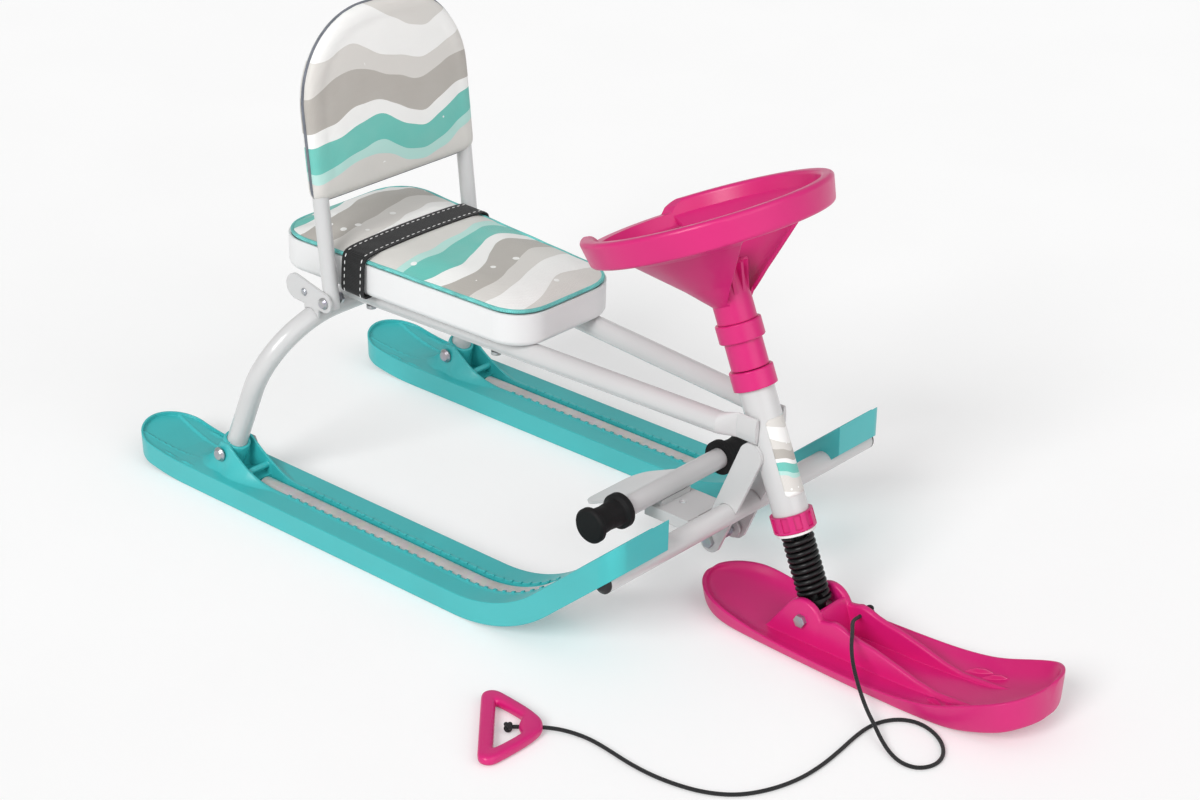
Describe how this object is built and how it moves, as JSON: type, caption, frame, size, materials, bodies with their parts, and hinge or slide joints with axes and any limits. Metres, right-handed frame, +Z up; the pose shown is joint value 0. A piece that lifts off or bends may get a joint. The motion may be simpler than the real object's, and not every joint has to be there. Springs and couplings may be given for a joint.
{
  "type": "steering sled",
  "caption": "Children's steering sled: tube frame on long rear skis, padded seat, folding backrest, wheel-steered sprung front ski, foot brake and tow cord.",
  "frame": {"origin": "on the ground under the middle of the sled's length and width", "axes": "+X forward, +Y to the rider's left, +Z up"},
  "size_m": [1.1859, 0.6564, 0.5812],
  "materials": {
    "frame_paint": "gloss light grey powder coat",
    "ski_plastic": "semi-gloss teal moulding",
    "runner_steel": "bright zinc",
    "fixing_steel": "zinc",
    "pan_plastic": "satin white",
    "cover_cloth": "printed coated cloth, pale grey and teal",
    "strap_webbing": "black woven webbing",
    "pink_plastic": "semi-gloss pink moulding",
    "white_plastic": "satin white",
    "black_plastic": "satin black",
    "grip_rubber": "matt black",
    "spring_paint": "satin black",
    "cord_fibre": "dark braided cord"
  },
  "bodies": {
    "frame": {"main_tube_left": "frame_paint", "main_tube_right": "frame_paint", "rear_arch": "frame_paint", "head_tube": "frame_paint", "strut_left": "frame_paint", "strut_right": "frame_paint", "cross_tube": "frame_paint", "hinge_plate_left": "frame_paint", "hinge_plate_right": "frame_paint", "rear_ski_left": "ski_plastic", "rear_ski_right": "ski_plastic", "runner_left": "runner_steel", "runner_right": "runner_steel", "ski_bolts": "fixing_steel", "ski_nuts": "fixing_steel", "seat_screws": "fixing_steel", "seat_nuts": "fixing_steel", "hinge_bolts": "fixing_steel", "hinge_nuts": "fixing_steel", "plate_rivets": "fixing_steel", "brake_bolt": "fixing_steel", "brake_nut": "fixing_steel", "seat_pan": "pan_plastic", "seat_cushion": "cover_cloth", "seat_strap": "strap_webbing", "upper_bush": "pink_plastic", "lower_bush": "pink_plastic", "cross_tube_plugs": "black_plastic"},
    "backrest": {"backrest_tube": "frame_paint", "backrest_pad": "cover_cloth"},
    "steering_turn": {"thrust_washer": "white_plastic"},
    "column": {"steering_column": "fixing_steel", "steering_wheel": "pink_plastic", "column_sleeve": "pink_plastic", "wheel_screw": "fixing_steel", "spring_seat": "fixing_steel", "front_spring": "spring_paint"},
    "front_ski": {"front_ski": "pink_plastic", "front_bolt": "fixing_steel", "front_nut": "fixing_steel", "tow_cord": "cord_fibre", "cord_knots": "cord_fibre", "tow_handle": "pink_plastic"},
    "brake": {"brake_lever": "frame_paint", "footrest_tube": "frame_paint", "footrest_grip_left": "grip_rubber", "footrest_grip_right": "grip_rubber", "brake_spring": "fixing_steel"}
  },
  "joints": [
    {"name": "backrest_fold", "type": "hinge", "parent": "frame", "child": "backrest", "pos_m": [-0.33797, 0, 0.24938], "axis": [0, 1, 0], "range_deg": [0, 48]},
    {"name": "steering", "type": "hinge", "parent": "frame", "child": "steering_turn", "pos_m": [0.2544, 0, 0.1383], "axis": [-0.3762, 0, 0.9265], "range_deg": [-38, 38]},
    {"name": "suspension", "type": "slide", "parent": "steering_turn", "child": "column", "axis": [-0.3762, 0, 0.9265], "range_m": [0, 0.009], "stiffness_N_per_m": 12000, "springref_m": -0.005, "deforming": ["front_spring"]},
    {"name": "ski_pitch", "type": "hinge", "parent": "column", "child": "front_ski", "pos_m": [0.29691, 0, 0.0336], "axis": [0, 1, 0], "range_deg": [-7, 7]},
    {"name": "brake_press", "type": "hinge", "parent": "frame", "child": "brake", "pos_m": [0.162, 0, 0.079], "axis": [0, -1, 0], "range_deg": [0, 24], "stiffness_Nm_per_rad": 2, "springref_deg": -34.38}
  ]
}
